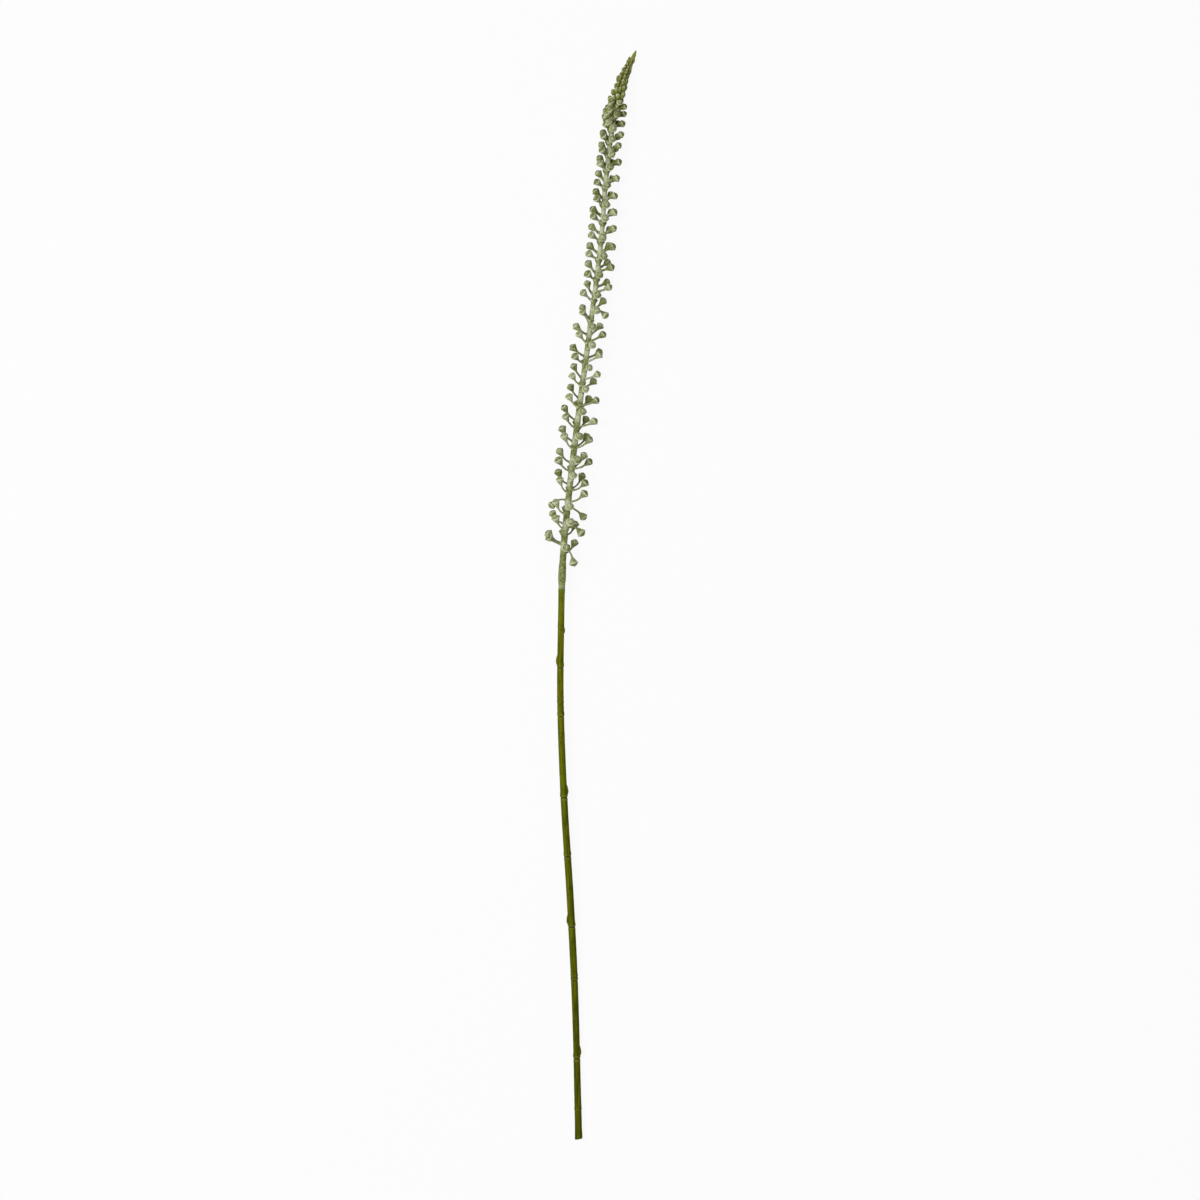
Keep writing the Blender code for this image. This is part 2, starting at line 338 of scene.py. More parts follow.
def grown(thing, tree, **values):
    """Runs a tree on its guide, and leaves the guide's object with the result as a plain mesh."""
    modifier = thing.modifiers.new("grow", "NODES")
    modifier.node_group = tree
    for item in tree.interface.items_tree:
        if item.in_out == "INPUT" and item.name in values:
            modifier[item.identifier] = values[item.name]
    result = thing.evaluated_get(bpy.context.evaluated_depsgraph_get())
    mesh = bpy.data.meshes.new_from_object(result)
    thing.modifiers.clear()
    thing.data = mesh
    return thing


def triangles(thing):
    return sum(len(face.vertices) - 2 for face in thing.data.polygons)


print("the trees run in Blender", bpy.app.version_string)

# %% [markdown]
# ## Colours of the stem
#
# Paint charts give colours as three numbers up to 255, but the shader wants linear light. One helper
# converts them, so that the colours below can be read as they look.

# %% Colour helper
def colour(red, green, blue):
    """A colour as it looks on a screen, turned into linear light."""
    parts = [value / 255 for value in (red, green, blue)]
    return (*[v / 12.92 if v < 0.04045 else ((v + 0.055) / 1.055) ** 2.4 for v in parts], 1.0)


def surface(name):
    """A new material as a graph, with its Principled shader."""
    material = bpy.data.materials.new(name)
    material.use_nodes = True
    return material, Graph(material.node_tree), material.node_tree.nodes["Principled BSDF"]


def mixed(graph, share, first, second):
    """One colour over another, by a share from 0 to 1."""
    return graph.node(
        "ShaderNodeMix", {"Factor_Float": share, "A_Color": first, "B_Color": second}, data_type="RGBA"
    ).of("Result_Color")


def attribute(graph, name):
    return graph.node("ShaderNodeAttribute", attribute_name=name).of("Fac")


def millimetres(graph):
    """The place on the object, in millimetres."""
    return graph.scaled(graph.node("ShaderNodeTexCoord").of("Object"), 1000.0)


def facing(graph):
    """The way that the surface faces, on the object's own axes."""
    return graph.node("ShaderNodeSeparateXYZ", {0: graph.node("ShaderNodeTexCoord").of("Normal")})


def noise(graph, place, size, detail=2.0, roughness=0.5):
    """Soft noise from 0 to 1 whose patches are about size wide."""
    return graph.node(
        "ShaderNodeTexNoise", {"Vector": place, "Scale": 1 / size, "Detail": detail, "Roughness": roughness}
    ).of("Fac")


def bumped(graph, height, depth):
    """A normal for relief of a real depth in millimetres, where height runs from 0 to 1."""
    return graph.node("ShaderNodeBump", {"Height": height, "Distance": depth * MM})


print("a mid olive is", [round(value, 3) for value in colour(104, 110, 22)])

# %% [markdown]
# ## The stalk's finish
#
# The stalk is waxy and olive, and darkens towards the cut end. Up close it has fine lengthwise fibres,
# darker patches, and a dark line in the groove at each node, with a pale band above it and a weaker
# one below. Near the top some of the spike's frosting has rubbed off on its right side. The fibres
# need to run with the stem, so the noise reads the distance along it and the angle round it,
# stretched forty times lengthwise, instead of plain space.

# %% The olive finish
OLIVE_BY_DISTANCE = (
    (0, colour(67, 70, 0)),
    (120, colour(72, 76, 0)),
    (300, colour(81, 86, 0)),
    (450, colour(92, 98, 0)),
    (556, colour(101, 107, 4)),
)
RUBBED = 520, 536
POWDER_EDGE = 546, 556


def olive_finish():
    material, graph, shader = surface("waxy_olive")
    along, around = attribute(graph, "along"), attribute(graph, "around")
    scar, lip, pith, edge = (attribute(graph, name) for name in ("scar", "lip", "pith", "edge"))
    tone = OLIVE_BY_DISTANCE[0][1]
    for (start, _), (end, next_tone) in zip(OLIVE_BY_DISTANCE, OLIVE_BY_DISTANCE[1:]):
        tone = mixed(graph, along.rise(start, end), tone, next_tone)
    angle = around * math.tau
    fibre_place = graph.node(
        "ShaderNodeCombineXYZ",
        {"X": angle.math("COSINE") * 3, "Y": angle.math("SINE") * 3, "Z": along * 0.025},
    )
    fibres = noise(graph, fibre_place, 0.55, 3)
    patches = noise(graph, millimetres(graph), 9.0, 3)
    specks = noise(graph, millimetres(graph), 0.7, 1)
    rightward = facing(graph).of("X")
    grains = noise(graph, millimetres(graph), 0.8, 3, 0.7)
    rub = along.rise(*RUBBED) * (grains * 0.8 + rightward * 0.3).rise(0.5, 0.75) * 0.7
    dust = rub.math("MAXIMUM", (along.rise(*POWDER_EDGE) + grains * 0.8).rise(0.75, 1.3))
    wood = mixed(graph, fibres.rise(0.4, 0.65) * 0.6, colour(178, 172, 118), colour(132, 130, 72))
    for share, layer in (
        (fibres.rise(0.46, 0.62) * 0.55, colour(116, 122, 10)),
        (fibres.rise(0.48, 0.34) * 0.6, colour(44, 48, 0)),
        (patches.rise(0.5, 0.68) * 0.42, colour(48, 52, 0)),
        (lip * 0.42 + edge * 0.25, colour(138, 142, 62)),
        (scar * 0.75, colour(52, 50, 14)),
        (specks.rise(0.69, 0.76) * 0.5, colour(64, 56, 18)),
        (dust, colour(150, 156, 112)),
        (pith, wood),
    ):
        tone = mixed(graph, share, tone, layer)
    relief = fibres * 0.35 + grains * 0.25 + dust * 0.4
    rough = 0.42 + fibres * 0.16 + dust * 0.3 + pith * 0.3
    normal = bumped(graph, relief, 0.14)
    graph.feed(shader, {"Base Color": tone, "Roughness": rough, "Normal": normal, "Specular IOR Level": 0.03})
    return material


waxy_olive = olive_finish()
print("the olive finish has", len(waxy_olive.node_tree.nodes), "nodes")

# %% [markdown]
# ## The frosted finish
#
# The whole spike carries a powder, thick on whatever faced the spray: the upper side, the rims of the
# buds and the swellings that they grow from. Under it the green is darker and yellower in every
# hollow, in the groove inside each bud's rim and wherever it faces down: that darkening is painted
# shade, and the lighter green on the upper side is painted light. So the finish is a dark and a light
# green with a frost laid over them, and how much frost there is depends on the way that the surface
# faces, on attributes that the trees leave on the mesh, and on two sizes of noise, because a spray
# lands in specks. The shelter attribute says how close another part of the stem stands in front of
# the surface, where no spray could reach: there the frost thins and the green is painted darker, as
# painted shade. The bare attribute marks the thin pedicels, a brownish olive that is painted darker
# below, as painted shade. The young apex takes less frost too.

# %% The frosted finish
SPIKE_GREENS = colour(80, 86, 28), colour(124, 132, 68), colour(199, 203, 168)
TIP_GREENS = colour(58, 64, 8), colour(130, 136, 60), colour(198, 201, 152)
TIP_TURNS = 1000, 1060
YOUNG_APEX = 1074, 1094


def frosted_finish(name, powder, hollow_shade):
    """A green under frost. powder is how thick the frost lies, and the second how dark painted shade in
    hollows is.
    """
    material, graph, shader = surface(name)
    height = attribute(graph, "along").rise(*TIP_TURNS)
    shade, green, frost = (mixed(graph, height, *pair) for pair in zip(SPIKE_GREENS, TIP_GREENS))
    place = millimetres(graph)
    upward = facing(graph).of("Z")
    edge, dust, bare, shelter, tone = (
        attribute(graph, label) for label in ("edge", "dust", "bare", "shelter", "tone")
    )
    blotches = noise(graph, place, 1.7, 2)
    grains = noise(graph, place, 0.7, 3, 0.6)
    # Shelter is partly real, as less frost lands there, and partly painted shade, as the green is painted
    # darker. The pedicels take little of it.
    shelter = shelter * (1.0 - bare * 0.9)
    # The green is painted lighter where the surface faces up, as painted light, and darker in each bud's
    # groove and base, as painted shade. The frost is also thicker on top.
    open_part = blotches.rise(0.3, 0.65) * 0.6 + upward * 0.12 + edge * 0.3 + dust * 0.3 + tone * 0.2
    green_part = (open_part - shelter * hollow_shade - bare * 0.1 + 0.25).rise(0.0, 0.9)
    speckle = blotches * 0.8 + grains * 1.1 - 0.95
    cover = speckle + powder + upward * 0.08 + edge * 0.45 + dust * 0.45 + tone * 0.1
    stalk_share = bare * 1.3
    bare = bare * (0.65 - upward * 0.45)
    clots = noise(graph, place, 4.5, 2).rise(0.5, 0.66)
    young = attribute(graph, "along").rise(*YOUNG_APEX)
    cover = (cover + clots * 0.15 - bare * 0.9 - shelter * (hollow_shade + 0.1) - young * 0.3).rise(0.1, 0.75)
    base = mixed(graph, green_part, shade, green)
    # The pedicels are brownish olive, painted darker where they face down, as painted shade.
    pedicel_tone_shaded_below = mixed(graph, upward.rise(-0.7, 0.2), colour(92, 82, 36), colour(130, 134, 78))
    base = mixed(graph, stalk_share, base, pedicel_tone_shaded_below)
    base = mixed(graph, young * 0.6, base, colour(150, 148, 56))
    base = mixed(graph, cover, base, frost)
    relief = grains * 0.6 + cover * 0.4
    look = {"Base Color": base, "Roughness": 0.55 + cover * 0.35, "Normal": bumped(graph, relief, 0.3)}
    sheen = {"Sheen Weight": 0.5, "Sheen Roughness": 0.38, "Sheen Tint": colour(226, 230, 205)}
    graph.feed(shader, {**look, **sheen, "Specular IOR Level": 0.15})
    return material


powdered_green = frosted_finish("powdered_green", 0.20, 0.6)
powdered_tip = frosted_finish("powdered_tip", 0.14, 1.2)
print("finishes:", powdered_green.name, powdered_tip.name)

# %% [markdown]
# ## One tree grows every stretch of stem
#
# A stretch of stem is a round section carried along a curve, with twigs carried along curves of their
# own and a bud sitting on the end of each. Stacking rings in Python would work, but Curve to Mesh
# does it in one node, where each point of the guide brings its own thickness. The guide marks which of
# its points belong to the axis and which are seats for a bud. A seat also brings the way that its bud
# points, the way that its first lobe faces, and its size.
#
# The tree then shakes the skin a little, so that no outline is ruled. Points marked as still don't
# move, because the next stretch of stem meets the skin there. Last, a ray leaves every point of the
# skin, and where it soon hits another part the point is sheltered: the finish lays less frost there
# and paints the green darker, as painted shade.

# %% The growth tree
RAY_START = 0.0002
MOST_CORNERS = 4.5
SKIN_INPUTS = {"Unevenness": "Float", "Grain": "Float", "Shelter": "Float", "Finish": "Material"}


def swept(graph, lines, sides):
    """A closed skin along some edges of the guide, as thick as their girth."""
    ring = graph.node("GeometryNodeCurvePrimitiveCircle", {"Resolution": sides, "Radius": 1.0}).of("Curve")
    ring = stored(graph, ring, "around", graph.node("GeometryNodeSplineParameter").of("Factor"))
    return graph.node(
        "GeometryNodeCurveToMesh",
        {"Curve": lines, "Profile Curve": ring, "Scale": named(graph, "girth"), "Fill Caps": True},
    )


def seated(graph, points, bud, way, face, size):
    """A copy of the bud on each seat, pointing its own way and turned to its face."""
    upright = graph.node("FunctionNodeAlignRotationToVector", {"Vector": way}, axis="Z")
    turned = graph.node(
        "FunctionNodeAlignRotationToVector", {"Rotation": upright, "Vector": face}, axis="X", pivot_axis="Z"
    )
    shape = graph.node("GeometryNodeObjectInfo", {"Object": bud}).of("Geometry")
    seat = named(graph, "seat", "BOOLEAN")
    return graph.node(
        "GeometryNodeInstanceOnPoints",
        {"Points": points, "Selection": seat, "Instance": shape, "Rotation": turned, "Scale": size},
    )


def shaken(graph, skin, unevenness, grain):
    """The skin with soft lumps about grain wide, apart from the points that are still."""
    spots = graph.node("ShaderNodeTexNoise", {"Scale": 1.0 / grain, "Detail": 1.0}).of("Fac")
    free = 1.0 - named(graph, "still")
    normal = graph.node("GeometryNodeInputNormal").of("Normal")
    lumps = graph.scaled(normal, (spots - 0.5) * unevenness * free)
    return graph.node("GeometryNodeSetPosition", {"Geometry": skin, "Offset": lumps})


def sheltered(graph, skin, reach):
    """Notes on the skin how close another part of it stands in front of each point, from 0 to 1."""
    place = graph.node("GeometryNodeInputPosition").of("Position")
    normal = graph.node("GeometryNodeInputNormal").of("Normal")
    start = graph.vector("ADD", place, graph.scaled(normal, RAY_START))
    ray = graph.node(
        "GeometryNodeRaycast",
        {"Target Geometry": skin, "Source Position": start, "Ray Direction": normal, "Ray Length": reach},
    )
    close = ray.of("Is Hit") * (1.0 - ray.of("Hit Distance") / reach)
    soft = graph.node("GeometryNodeBlurAttribute", {"Value": close, "Iterations": 1})
    return stored(graph, skin, "shelter", soft)


def skinned(graph, given, parts):
    """Joins the parts, shakes their skin, notes its shelter and smooths all but flat caps."""
    whole = graph.node("GeometryNodeJoinGeometry", {"Geometry": parts})
    real = graph.node("GeometryNodeRealizeInstances", {"Geometry": whole})
    skin = shaken(graph, real, given["Unevenness"], given["Grain"])
    skin = sheltered(graph, skin, given["Shelter"])
    corners = graph.node("GeometryNodeInputMeshFaceNeighbors").of("Vertex Count")
    sided = corners.math("LESS_THAN", MOST_CORNERS)
    smooth = graph.node("GeometryNodeSetShadeSmooth", {"Geometry": skin, "Shade Smooth": sided})
    done = graph.node("GeometryNodeSetMaterial", {"Geometry": smooth, "Material": given["Finish"]})
    graph.node("NodeGroupOutput", {"Geometry": done})
    return graph.tree


def growth_tree():
    graph, given = geometry_tree(
        "growth", {"Axis sides": "Int", "Twig sides": "Int", "Bud": "Object", **SKIN_INPUTS}
    )
    axis_part = named(graph, "axis", "BOOLEAN")
    twig_part = graph.node("FunctionNodeBooleanMath", {0: axis_part}, operation="NOT")
    parts = []
    for part, sides in ((axis_part, given["Axis sides"]), (twig_part, given["Twig sides"])):
        lines = graph.node("GeometryNodeMeshToCurve", {"Mesh": given["Geometry"], "Selection": part})
        parts.append(swept(graph, lines, sides))
    vectors = (named(graph, name, "FLOAT_VECTOR") for name in ("way", "face", "size"))
    parts.append(seated(graph, given["Geometry"], given["Bud"], *vectors))
    return skinned(graph, given, parts)


growth = growth_tree()
print("the growth tree has", len(growth.nodes), "nodes")

# %% [markdown]
# ## Shapes that are set on the stem
#
# A bud is one small mesh that is set many times, so it has only a few dozen faces. It is turned from a
# list of rings, each with its height, its radius, how deep the gaps between its lobes are, and how
# much frost it takes, where a value below zero on the spike also paints the green darker, as painted
# shade. Its height and its radius are 1, and each seat gives its real size.

# %% Turn a bud from rings
LOBE_RISE = 0.25


def turned(name, rings, sides, lobes):
    """A closed mesh of rings of (height, radius, lobing, edge). It ends in a pole."""
    points, faces, edges = [], [], []
    for height, radius, lobing, edge in rings[:-1]:
        for side in range(sides):
            angle = math.tau * side / sides
            swell = math.cos(lobes * angle)
            reach = radius * (1 + lobing * swell)
            place = (reach * math.cos(angle), reach * math.sin(angle), height + LOBE_RISE * lobing * swell)
            points.append(place)
            edges.append(edge)
    for ring in range(len(rings) - 2):
        for side in range(sides):
            after = (side + 1) % sides
            low, high = ring * sides, (ring + 1) * sides
            faces.append((low + side, low + after, high + after, high + side))
    pole, last = len(points), (len(rings) - 2) * sides
    points.append((0.0, 0.0, rings[-1][0]))
    edges.append(rings[-1][3])
    faces += [(last + side, last + (side + 1) % sides, pole) for side in range(sides)]
    faces.append(tuple(reversed(range(sides))))
    return drawn(name, points, [], faces, {"edge": edges})


print("a ring's corners rise and fall by", LOBE_RISE, "of its lobing")

# %% [markdown]
# ## The stalk's thickness
#
# Below the spike the stalk is bare. Each node, where a leaf sat, is a fine groove with a lip just
# above it and a faint ridge below. Some nodes are deep and others are hardly there, and two of them
# have faint rings over them, where bracts sat. The thickness is a rule of the distance from the cut
# end, read from a table of a few places and eased between them.

# %% The stalk's rule
STALK_LENGTH = 556.0
STALK_RADII = ((0, 3.8), (14, 3.55), (90, 3.35), (230, 3.6), (330, 3.5), (450, 3.3), (530, 3.2), (556, 3.3))
NODES = {
    28: 0.5, 81: 1.0, 159: 0.6, 213: 1.0, 284: 0.9, 343: 1.0, 424: 0.8, 473: 0.9, 511: 0.4, 547: 0.3,
}
FAINT_RINGS = {162.6: 0.45, 430.5: 0.3, 436.5: 0.3, 441.5: 0.25}
GROOVE_DEPTH = 0.45
GROOVE_REACH = 1.0
LIP_HEIGHT = 0.45
LIP_LENGTH = 6.0
# Each of these is how far above its groove it lies, and how far it reaches.
PALE_ABOVE, PALE_BELOW = (1.3, 1.2), (-1.6, 1.0)
RIDGE_HEIGHT, RIDGE = 0.15, (-1.6, 1.4)
BRACT_HEIGHT, BRACT = 0.5, (2.0, 2.4)


def table_value(table, at):
    """The value of a table of (place, value) rows at a place, eased between its rows."""
    if at <= table[0][0]:
        return table[0][1]
    for (start, low), (end, high) in zip(table, table[1:]):
        if at <= end:
            share = (at - start) / (end - start)
            return low + (high - low) * share * share * (3 - 2 * share)
    return table[-1][1]


def hump(distance, rings, above, reach):
    """The strength of the nearest ring at a height above it, falling to 0 at a reach from there."""
    return max(
        strength * max(0.0, 1 - abs(distance - ring - above) / reach) for ring, strength in rings.items()
    )


def groove_share(distance):
    """How deep in a groove a place is, from 0 to 1."""
    return hump(distance, NODES | FAINT_RINGS, 0.0, GROOVE_REACH)


def lip_share(distance):
    """How high on the lip above a node a place is, from 0 to 1."""
    heights = {node: (distance - node) / LIP_LENGTH for node in NODES}
    return max(
        NODES[node] * math.sin(math.pi * height**0.5) if 0 < height < 1 else 0.0
        for node, height in heights.items()
    )


def pale_share(distance):
    """How pale the skin is beside a groove: a narrow band above it, and a weaker one below."""
    rings = NODES | FAINT_RINGS
    return max(hump(distance, rings, *PALE_ABOVE), 0.7 * hump(distance, rings, *PALE_BELOW))


def stalk_radius(distance):
    radius = table_value(STALK_RADII, distance)
    radius += LIP_HEIGHT * lip_share(distance) + BRACT_HEIGHT * hump(distance, FAINT_RINGS, *BRACT)
    return radius - GROOVE_DEPTH * groove_share(distance) + RIDGE_HEIGHT * hump(distance, NODES, *RIDGE)


print("radius at 100 mm and on a lip:", [round(stalk_radius(at), 2) for at in (100, 160.5)])

# %% [markdown]
# ## Dormant buds
#
# Beside some nodes a dormant bud lies flat against the stalk, on one side or the other: a pointed
# scale about a centimetre long that never opened. It is a turned shape like the others, but squashed,
# and half of it is sunk in the stalk, so that only its back shows.

# %% Dormant buds
# For each node, the side that its bud is on, where it starts above the node, and its length.
DORMANT_BUDS = {
    81: (1, 2.6, 11.5),
    213: (-1, 2.6, 11.5),
    343: (1, 2.6, 11.5),
    473: (-1, 2.6, 11.5),
    511: (1, -4.0, 9.0),
}
DORMANT_GIRTHS = (1.9, 2.0)
DORMANT_DEPTH = 0.9
DORMANT_RINGS = (
    (0.0, 0.4, 0, 0.0),
    (0.10, 0.8, 0, 0.1),
    (0.28, 1.0, 0, 0.2),
    (0.50, 0.9, 0, 0.3),
    (0.72, 0.6, 0, 0.5),
    (0.90, 0.25, 0, 0.8),
    (1.0, 0.0, 0, 1.0),
)
dormant_scale = turned("dormant_scale", DORMANT_RINGS, 10, 1)


def dormant_seat(node):
    """The seat of the dormant bud beside a node: its place, way, face and size."""
    side, above, length = DORMANT_BUDS[node]
    point, along, right, _ = axis.frame(node + above)
    out = right * side
    size = Vector((*DORMANT_GIRTHS, length)) * MM
    return placed(point + out * (stalk_radius(node + above) - DORMANT_DEPTH)), along, out, size


print("a dormant bud has", len(dormant_scale.data.polygons), "faces")

# %% [markdown]
# ## The stalk, one internode at a time
#
# The stalk is made as eleven internodes that meet in the grooves, where the dark line hides the joint.
# Short pieces also get finer textures if the stem is exported. The guide's points stand close
# together at the nodes and far apart between them, and they note how far along the stem they are, how
# deep in a groove and how high on a lip, for the finish.

# %% Grow the internodes
RIM_REACH = 3.0
BELOW_NODE = 3.5


def stations(start, end, coarse, fine=0.0, busy=lambda at: False):
    """Distances from start to end, fine steps apart where busy says so and coarse elsewhere."""
    places = [start]
    while places[-1] < end - 0.01:
        places.append(min(end, places[-1] + (fine if busy(places[-1]) else coarse)))
    return places


class Guide:
    """The points, edges and attributes that a tree follows, gathered line by line."""

    NUMBERS = "girth", "along", "scar", "lip", "still", "dust", "bare", "tone", "pair", "lean", "gap"
    PLAIN = {
        **dict.fromkeys(NUMBERS, 0.0),
        **dict.fromkeys(("axis", "seat"), False),
        **dict.fromkeys(("way", "face", "size"), Vector()),
    }

    def __init__(self):
        self.points, self.edges = [], []
        self.values = {label: [] for label in self.PLAIN}

    def point(self, place, **values):
        self.points.append(place)
        for label, plain in self.PLAIN.items():
            self.values[label].append(values.get(label, plain))

    def line(self, rows):
        """Adds points that are joined up. Each row is a place and its attributes."""
        first = len(self.points)
        for place, values in rows:
            self.point(place, **values)
        self.edges += [(i, i + 1) for i in range(first, len(self.points) - 1)]

    def grown(self, name, tree=growth, **values):
        return grown(drawn(name, self.points, self.edges, [], self.values), tree, **values)


def core_row(distance, radius, ends, **notes):
    """A point of the axis for a guide. It is still at an end, where another stretch begins."""
    values = {"girth": radius * MM, "along": distance, "still": float(distance in ends), "axis": True}
    return placed(axis.point(distance)), {**values, **notes}


def near_node(distance):
    near = (-BELOW_NODE < distance - ring < LIP_LENGTH for ring in NODES | FAINT_RINGS)
    return distance < RIM_REACH or any(near)


def stalk_row(distance, ends):
    notes = {"scar": groove_share(distance), "lip": pale_share(distance)}
    return core_row(distance, stalk_radius(distance), ends, **notes)


stalk_values = {
    "Axis sides": 24,
    "Twig sides": 3,
    "Bud": dormant_scale,
    "Unevenness": 0.00022,
    "Grain": 0.006,
    "Shelter": 0.002,
    "Finish": waxy_olive,
}
internodes = []
joints = (0.0, *NODES, STALK_LENGTH)
for ends in zip(joints, joints[1:]):
    plan = Guide()
    places = stations(*map(float, ends), coarse=3.0, fine=0.4, busy=near_node)
    plan.line([stalk_row(at, ends) for at in places])
    if ends[0] in DORMANT_BUDS:
        place, way, face, size = dormant_seat(ends[0])
        plan.point(place, seat=True, way=way, face=face, size=size, along=float(ends[0]))
    internodes.append(plan.grown(f"internode_{len(internodes) + 1:02d}", **stalk_values))
print(len(internodes), "internodes with", sum(map(triangles, internodes)), "triangles")

# %% [markdown]
# ## The cut end
#
# Secateurs leave a slightly slanted face with a rounded rim and a paler, softer middle. The tree has
# closed the end with one flat face, so that face is inset a few times, each ring a little further in,
# and the rings note how far they are into the pith for the finish. The slant is given to the whole
# first stretch, fading out, so that the rim stays even.

# %% Finish the cut end
CUT_SLANT = 0.16
SLANT_REACH = 4.0
CUT_RINGS = ((0.25, -0.12, 0.3), (0.5, 0.0, 0.8), (0.9, 0.1, 1.0), (1.0, 0.06, 1.0))


def cut_end(thing):
    mesh = bmesh.new()
    mesh.from_mesh(thing.data)
    pith = mesh.verts.layers.float.new("pith")
    face = min(mesh.faces, key=lambda face: face.calc_center_median().y)
    for inward, depth, share in CUT_RINGS:
        bmesh.ops.inset_individual(mesh, faces=[face], thickness=inward * MM, depth=-depth * MM)
        for vertex in face.verts:
            vertex[pith] = share
    centre = placed(axis.point(0.0))
    for vertex in mesh.verts:
        if vertex.co.y < centre.y + SLANT_REACH * MM:
            fade = 1 - max(0.0, vertex.co.y - centre.y) / (SLANT_REACH * MM)
            vertex.co.y += (vertex.co.x - centre.x) * CUT_SLANT * fade
    mesh.to_mesh(thing.data)
    mesh.free()


cut_end(internodes[0])
print("the cut end has", len(CUT_RINGS), "rings")

# %% [markdown]
# ## The frosted neck
#
# Above the last node the frosting starts, with a thin sleeve's edge that stands a little proud of the
# stalk, and a bare stretch of two centimetres before the lowest whorl. It is one more stretch of
# stem, so the same tree grows it. It takes less frost than the whorls do.

# %% Grow the neck
SPIKE_START = 580.0
SLEEVE_START = 555.6
SLEEVE_END = 558.0
NECK_RADII = ((555.6, 3.3), (556.4, 3.4), (559, 3.7), (564, 3.95), (572, 3.8), (580, 3.3))
NECK_DUST = -0.3


def neck_row(distance):
    return core_row(distance, table_value(NECK_RADII, distance), [SPIKE_START], dust=NECK_DUST)


plan = Guide()
places = stations(SLEEVE_START, SPIKE_START, coarse=0.7, fine=0.3, busy=lambda at: at < SLEEVE_END)
plan.line([neck_row(at) for at in places])
neck_values = {"Axis sides": 24, "Twig sides": 3, "Unevenness": 0.0006, "Grain": 0.0016, "Shelter": 0.005}
neck = plan.grown("neck", Finish=powdered_green, **neck_values)
print("the neck has", triangles(neck), "triangles")

# %% [markdown]
# ## Where each bud grows
#
# A whorl is six buds that start at different heights all round the axis, one in each of the six rows
# that run up the spike. The sizes change with height: low buds are large, on long arched stalks, and
# high ones are small and sit close. The tables give each size by the share of the spike's height, and
# a seeded random number makes every bud a little different. The seed and the order of the draws are
# the solids' own, so each bud lands where its solid is. The finished buds are a little fuller than the
# solids, and the spray left more on some stretches of the spike than on others.

# %% The spike's rule
SEED = 7
TIP_START = 1034.0
BARE_APEX = 9.0
ROOT_DEPTH = 1.3
PITCHES = (
    (0, 21.5), (0.45, 21.5), (0.61, 19.0), (0.71, 17.0), (0.78, 13.5), (0.83, 11.5), (0.86, 9.4), (0.89, 7.6),
    (0.92, 6.0), (1, 4.4),
)
AXIS_RADII = (
    (0, 3.2), (0.15, 3.2), (0.4, 3.0), (0.84, 2.7), (0.9, 3.9), (0.935, 3.8), (0.97, 2.2), (1, 0.3),
)
PEDICEL_LENGTHS = (
    (0, 10.8), (0.25, 10.2), (0.45, 7.6), (0.6, 5.2), (0.72, 3.2), (0.84, 2.2), (0.9, 1.2), (1, 0.4),
)
LEANS_AT_ROOT = ((0, 84), (0.25, 78), (0.45, 70), (0.84, 64), (0.92, 44), (0.97, 24), (1, 16))
LEANS_AT_BUD = (
    (0, 28), (0.12, 30), (0.2, 38), (0.3, 48), (0.5, 56), (0.84, 56), (0.92, 34), (0.97, 18), (1, 12),
)
BUD_LENGTHS = ((0, 8.2), (0.5, 7.8), (0.84, 7.2), (0.92, 5.2), (0.97, 2.8), (1, 1.8))
BUD_RADII = ((0, 3.8), (0.5, 3.6), (0.84, 2.95), (0.92, 2.0), (0.97, 1.2), (1, 0.6))
BUD_PROFILE = ((0.72, 1.08), (1.0, 0.5))
# How far a bud may stray: in shares of a pitch, in degrees of turn and of lean, and as factors.
PLACE_SPREAD, TURN_SPREAD, LEAN_SPREAD = 0.03, 7, 9
PEDICEL_RANGE, SIZE_RANGE = (0.88, 1.1), (0.94, 1.06)
ARCH_STEPS = 8
TABLE_GAP = 0.3
BENT_BACK = 0.985
TONE_TURNS = 7
# How much a bud's frost and green rise as it points up: partly the spray, and partly painted shade on buds
# that point down.
SPRAY_AND_SHADE_BY_FACING = 0.5
BUD_FULLNESS = ((0, 1.12), (0.2, 1.12), (0.3, 1.07), (0.5, 1.09), (0.65, 1.22), (0.85, 1.27), (1, 1.1))
BUD_DUST = ((0, 0), (0.25, 0), (0.35, 0.14), (0.5, 0.08), (0.65, 0), (0.8, -0.1), (0.88, -0.2), (1, -0.2))


def spike_share(distance):
    """How far along the spike a distance is, from 0 at the lowest whorl to 1 at the apex."""
    return (distance - SPIKE_START) / (axis.length - SPIKE_START)


def whorl_places():
    """Each whorl's number, start and pitch. The whorls come closer and closer towards the apex."""
    places, start = [], SPIKE_START
    while start < axis.length - BARE_APEX:
        pitch = table_value(PITCHES, spike_share(start))
        places.append((len(places), start, pitch))
        start += pitch
    return [place for place in places if place[1] < TIP_START]


whorls = whorl_places()
print(len(whorls), "loose whorls, the first", whorls[0][2], "mm apart and the last", round(whorls[-1][2], 1))

# %% [markdown]
# ## Rows and strays
#
# Each row has its turn round the axis, its place in a whorl's pitch, and how much further out it leans
# than the tables say, because a stem on a table lies a little flat: front buds stand up and back ones
# are tucked in. A living spike is never quite regular, so three of the rows drift along the axis as
# they climb, one of them turns as well, and some buds are strays that start elsewhere or hang. Last, a
# bud that would sink into the table is bent back until it lies clear of it.
#
# The topmost loose whorls stand so close that two more rows fill their left side. They are only in
# the dressed stem, and are drawn last, so that no other bud's random numbers change.

